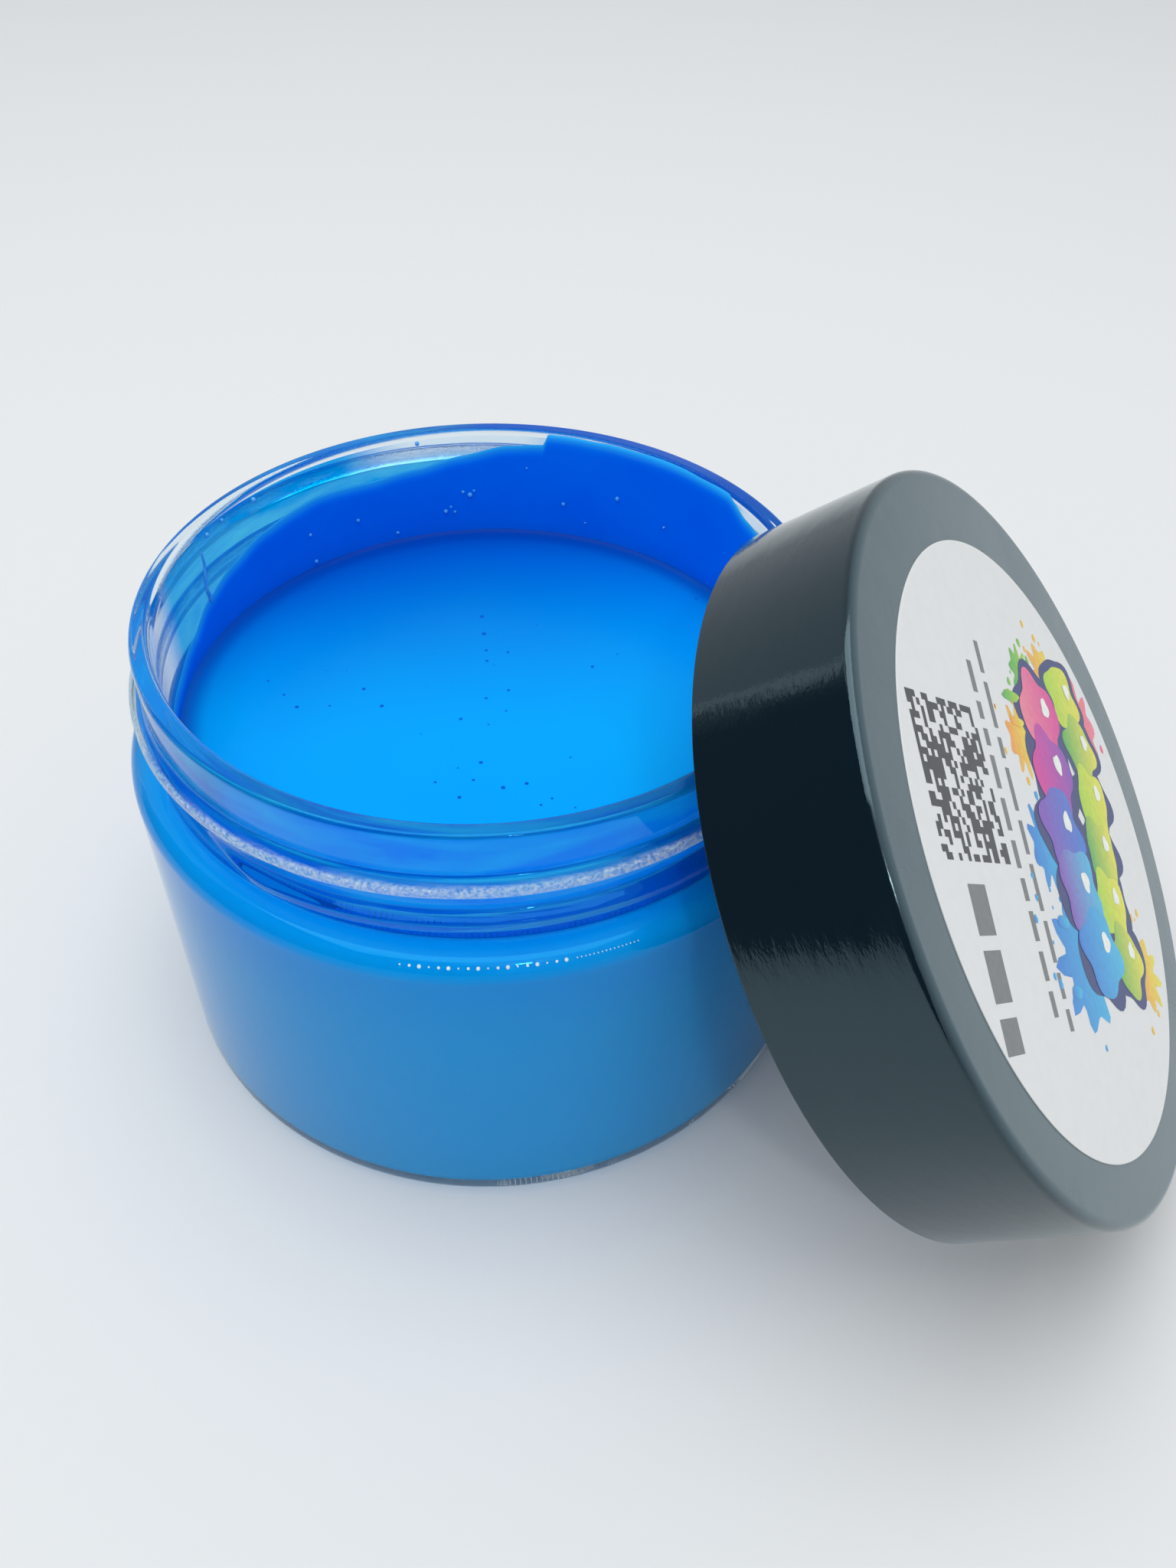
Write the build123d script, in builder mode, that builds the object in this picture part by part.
"""Wide-mouth paint jar, open, with its screw lid leaning against the neck.

The jar stands on the floor with its axis on Z and its origin at the centre of its base.
The lid leans towards +X: its skirt's lowest edge is on the floor and its highest part is
hooked over the jar's rim. Six pieces: jar, paint, paint_film, lid, liner and label.
All lengths are in millimetres and all angles in degrees.
"""

import os
from math import acos, cos, degrees, radians, sin, sqrt, tan

from build123d import *

# Jar: neck, shoulder and body
rim_height = 50.6
neck_radius = 33.4
neck_wall = 1.9
body_radius = 36.3
body_wall = 1.3
shoulder_drop = 13.0
shoulder_wall = 1.4
shoulder_rounding = 2.0
neck_root_rounding = 0.7
rim_outer_rounding = 0.45
rim_inner_rounding = 0.6
base_rounding = 2.4
base_wall = 1.7
push_up_height = 1.0
push_up_slope_width = 2.0
standing_ring_width = 7.3
cavity_rounding = 1.6

# Screw thread, six turns to the inch
thread_pitch = 4.233
thread_depth = 1.2
thread_root_width = 2.0
thread_crest_width = 1.0
thread_bite = 0.35
jar_thread_top_drop = 2.3
jar_thread_turns = 1.9
jar_thread_top_angle = 205.0
lid_thread_edge_gap = 2.8
lid_thread_turns = 1.15
lid_thread_foot_angle = 140.0
thread_clearance = 0.2
runout_size = 14.0
runout_overcut = 0.15
lid_runout_radius = 21.0

# Lid, liner and label
lid_wall = 1.2
lid_height = 15.0
lid_top_wall = 1.4
lid_rounding = 0.9
lid_inner_chamfer = 0.35
liner_thickness = 1.0
liner_side_gap = 0.4
liner_top_gap = 0.05
label_margin = 6.4
label_thickness = 0.12
label_offset_x = 0.75
label_offset_y = -0.63

# How the lid leans: how far the inside of its skirt reaches down past the rim at its
# highest point, its shift sideways along the rim, and the gap where it hooks over the rim
lid_hook_reach = 7.19
lid_side_shift = -2.7
lid_hook_gap = 0.2

# Paint and the film it has left on the wall of the neck
paint_level_above_ceiling = 0.9
meniscus_height = 0.7
film_thickness = 0.25
film_line_drop = 6.4
film_line_swing = 6.3
film_line_high_angle = 80.0
film_rim_gap = 0.9

# Sizes that follow from the ones above
neck_inner_radius = neck_radius - neck_wall
body_inner_radius = body_radius - body_wall
shoulder_height = rim_height - shoulder_drop
ceiling_height = shoulder_height - shoulder_wall
cavity_floor = push_up_height + base_wall
standing_ring_inner_radius = body_radius - standing_ring_width
push_up_radius = standing_ring_inner_radius - push_up_slope_width
thread_radius = neck_radius + thread_depth
lid_inner_radius = thread_radius + thread_clearance
lid_radius = lid_inner_radius + lid_wall
lid_ceiling = lid_height - lid_top_wall
label_radius = lid_radius - label_margin
paint_level = ceiling_height + paint_level_above_ceiling
meniscus_top = paint_level + meniscus_height
film_line_height = rim_height - film_line_drop
film_top_limit = rim_height - film_rim_gap

# Where the lid stands. Its open edge is a circle tilted about Y; the lowest point of that
# circle is on the floor, and the rim crosses the edge's plane just inside the skirt.
lid_slant = rim_height / (lid_radius + lid_inner_radius - lid_hook_reach)
lid_axis_rise = degrees(acos(lid_slant))
lid_centre_height = lid_radius * lid_slant


def leaning_x(height, radius, skirt_radius):
    """X of the lid's centre where its skirt meets a circle round the jar, at this height."""
    above_centre = height - lid_centre_height
    half_width = sqrt((skirt_radius - lid_hook_gap) ** 2 - (above_centre / lid_slant) ** 2)
    meeting_y = half_width - abs(lid_side_shift)
    meeting_x = sqrt(radius**2 - meeting_y**2)
    return meeting_x + above_centre * tan(radians(lid_axis_rise))


# It leans on whichever it meets first, the rim or, under its thread, the shoulder
lid_centre_x = max(
    leaning_x(rim_height, neck_radius, lid_inner_radius),
    leaning_x(shoulder_height, body_radius, lid_inner_radius - thread_depth),
)

lid_place = Plane(
    origin=(lid_centre_x, lid_side_shift, lid_centre_height),
    x_dir=(sin(radians(lid_axis_rise)), 0, -cos(radians(lid_axis_rise))),
    z_dir=(cos(radians(lid_axis_rise)), 0, sin(radians(lid_axis_rise))),
)

# The flanks of both threads run on into the wall they stand on, and the cuts that run a
# thread's ends out are no taller than one turn
runout_height = 0.9 * thread_pitch
flank_slope = (thread_root_width - thread_crest_width) / 2 / thread_depth
thread_foot_half_width = thread_root_width / 2 + flank_slope * thread_bite

# Thread ridge on the outside of the neck, from its lower end upwards
jar_thread_rise = thread_pitch * jar_thread_turns
jar_thread_foot = rim_height - jar_thread_top_drop - jar_thread_rise
jar_thread_foot_angle = jar_thread_top_angle - 360 * jar_thread_turns
jar_thread_ends = [
    (0, jar_thread_foot),
    (360 * jar_thread_turns, jar_thread_foot + jar_thread_rise),
]

with BuildPart() as jar_thread:
    with BuildLine() as jar_helix:
        Helix(
            pitch=thread_pitch,
            height=jar_thread_rise,
            radius=neck_radius,
            center=(0, 0, jar_thread_foot),
        )
    with BuildSketch(
        Plane(origin=jar_helix.line @ 0, x_dir=(1, 0, 0), z_dir=jar_helix.line % 0)
    ):
        with BuildLine():
            Polyline(
                (-thread_bite, -thread_foot_half_width),
                (thread_depth, -thread_crest_width / 2),
                (thread_depth, thread_crest_width / 2),
                (-thread_bite, thread_foot_half_width),
                close=True,
            )
        make_face()
    sweep(path=jar_helix.line, is_frenet=True)
    # Each end is cut off flat, so that it sinks into the neck instead of stopping short
    for end_angle, end_height in jar_thread_ends:
        with Locations(
            Location((0, 0, end_height), (0, 0, end_angle))
            * Location((neck_radius - runout_overcut, 0, 0))
        ):
            Box(
                runout_size,
                2 * runout_size,
                runout_height,
                align=(Align.MIN, Align.CENTER, Align.CENTER),
                mode=Mode.SUBTRACT,
            )

# Hollow of the jar, wider below the shoulder than in the neck
with BuildPart() as cavity:
    with BuildSketch(Plane.XZ) as cavity_profile:
        with BuildLine():
            Polyline(
                (0, cavity_floor),
                (body_inner_radius, cavity_floor),
                (body_inner_radius, ceiling_height),
                (neck_inner_radius, ceiling_height),
                (neck_inner_radius, rim_height + 1),
                (0, rim_height + 1),
                close=True,
            )
        make_face()
        fillet(
            cavity_profile.vertices().filter_by_position(
                Axis.X, body_inner_radius - 0.1, body_inner_radius + 0.1
            ),
            radius=cavity_rounding,
        )
    revolve(axis=Axis.Z)

# Jar: body with a rounded base edge and a push-up, shoulder, threaded neck and rim
with BuildPart() as jar:
    with BuildSketch(Plane.XZ) as jar_profile:
        with BuildLine():
            Polyline(
                (0, push_up_height),
                (push_up_radius, push_up_height),
                (standing_ring_inner_radius, 0),
                (body_radius, 0),
                (body_radius, shoulder_height),
                (neck_radius, shoulder_height),
                (neck_radius, rim_height),
                (0, rim_height),
                close=True,
            )
        make_face()
        outer_corners = jar_profile.vertices().filter_by_position(
            Axis.X, body_radius - 0.1, body_radius + 0.1
        )
        neck_corners = jar_profile.vertices().filter_by_position(
            Axis.X, neck_radius - 0.1, neck_radius + 0.1
        )
        fillet(outer_corners.sort_by(Axis.Z)[0], radius=base_rounding)
        fillet(outer_corners.sort_by(Axis.Z)[-1], radius=shoulder_rounding)
        fillet(neck_corners.sort_by(Axis.Z)[0], radius=neck_root_rounding)
        fillet(neck_corners.sort_by(Axis.Z)[-1], radius=rim_outer_rounding)
    revolve(axis=Axis.Z)
    add(cavity.part, mode=Mode.SUBTRACT)
    inner_rim_edge = jar.edges().filter_by(
        lambda edge: edge.geom_type == GeomType.CIRCLE
        and abs(edge.radius - neck_inner_radius) < 0.01
        and abs(edge.center().Z - rim_height) < 0.01
    )
    fillet(inner_rim_edge, radius=rim_inner_rounding)
    add(jar_thread.part, rotation=(0, 0, jar_thread_foot_angle))

# Paint: fills the hollow to the foot of the neck and climbs the wall in a small meniscus
with BuildPart() as paint:
    add(cavity.part)
    with BuildSketch(Plane.XZ):
        with BuildLine():
            Line((0, paint_level), (neck_inner_radius - meniscus_height, paint_level))
            RadiusArc(
                (neck_inner_radius - meniscus_height, paint_level),
                (neck_inner_radius, meniscus_top),
                -meniscus_height,
            )
            Line((neck_inner_radius, meniscus_top), (body_radius, meniscus_top))
            Line((body_radius, meniscus_top), (body_radius, rim_height + 2))
            Line((body_radius, rim_height + 2), (0, rim_height + 2))
            Line((0, rim_height + 2), (0, paint_level))
        make_face()
    revolve(axis=Axis.Z, mode=Mode.SUBTRACT)

# Film: a thin skin on the wall of the neck, below the slanted line the paint once reached
film_line_slope = film_line_swing / neck_inner_radius
film_line_normal = (
    -film_line_slope * cos(radians(film_line_high_angle)),
    -film_line_slope * sin(radians(film_line_high_angle)),
    1,
)
with BuildPart() as paint_film:
    with BuildSketch(Plane.XY.offset(meniscus_top)):
        Circle(neck_inner_radius)
        Circle(neck_inner_radius - film_thickness, mode=Mode.SUBTRACT)
    extrude(amount=film_top_limit - meniscus_top)
    split(
        bisect_by=Plane(origin=(0, 0, film_line_height), z_dir=film_line_normal),
        keep=Keep.BOTTOM,
    )

# Thread ridge inside the lid, drawn with the lid's open edge on the XY plane
lid_thread_rise = thread_pitch * lid_thread_turns
lid_thread_ends = [
    (0, lid_thread_edge_gap),
    (360 * lid_thread_turns, lid_thread_edge_gap + lid_thread_rise),
]

with BuildPart() as lid_thread:
    with BuildLine() as lid_helix:
        Helix(
            pitch=thread_pitch,
            height=lid_thread_rise,
            radius=lid_inner_radius,
            center=(0, 0, lid_thread_edge_gap),
        )
    with BuildSketch(
        Plane(origin=lid_helix.line @ 0, x_dir=(1, 0, 0), z_dir=lid_helix.line % 0)
    ):
        with BuildLine():
            Polyline(
                (thread_bite, -thread_foot_half_width),
                (-thread_depth, -thread_crest_width / 2),
                (-thread_depth, thread_crest_width / 2),
                (thread_bite, thread_foot_half_width),
                close=True,
            )
        make_face()
    sweep(path=lid_helix.line, is_frenet=True)
    for end_angle, end_height in lid_thread_ends:
        with Locations(
            Location((0, 0, end_height), (0, 0, end_angle))
            * Location((lid_inner_radius + runout_overcut - lid_runout_radius, 0, 0))
        ):
            Cylinder(lid_runout_radius, runout_height, mode=Mode.SUBTRACT)

# Lid: a smooth cap with a rounded top edge and a threaded skirt
with BuildPart() as lid_upright:
    Cylinder(lid_radius, lid_height, align=(Align.CENTER, Align.CENTER, Align.MIN))
    fillet(lid_upright.edges().sort_by(Axis.Z)[-1], radius=lid_rounding)
    Cylinder(
        lid_inner_radius,
        lid_ceiling,
        align=(Align.CENTER, Align.CENTER, Align.MIN),
        mode=Mode.SUBTRACT,
    )
    inner_mouth_edge = lid_upright.edges().filter_by(
        lambda edge: edge.geom_type == GeomType.CIRCLE
        and abs(edge.radius - lid_inner_radius) < 0.01
        and abs(edge.center().Z) < 0.01
    )
    chamfer(inner_mouth_edge, length=lid_inner_chamfer)
    add(lid_thread.part, rotation=(0, 0, lid_thread_foot_angle))

# Liner: a foam disc that lies against the lid's ceiling, held in by the thread
with BuildPart() as liner_upright:
    with BuildSketch(Plane.XY.offset(lid_ceiling - liner_top_gap - liner_thickness)):
        Circle(lid_inner_radius - liner_side_gap)
    extrude(amount=liner_thickness)

# Label: a round paper sticker on the lid's face, a little off its centre
with BuildPart() as label_upright:
    with BuildSketch(Plane.XY.offset(lid_height)):
        with Locations((label_offset_x, label_offset_y)):
            Circle(label_radius)
    extrude(amount=label_thickness)

# The three pieces of the closure are laid over to where the lid leans
lid = lid_place.location * lid_upright.part
liner = lid_place.location * liner_upright.part
label = lid_place.location * label_upright.part

jar.part.label = "jar"
paint.part.label = "paint"
paint_film.part.label = "paint_film"
lid.label = "lid"
liner.label = "liner"
label.label = "label"

os.makedirs("parts", exist_ok=True)
export_step(jar.part, "parts/jar.step")
export_step(paint.part, "parts/paint.step")
export_step(paint_film.part, "parts/paint_film.step")
export_step(lid, "parts/lid.step")
export_step(liner, "parts/liner.step")
export_step(label, "parts/label.step")
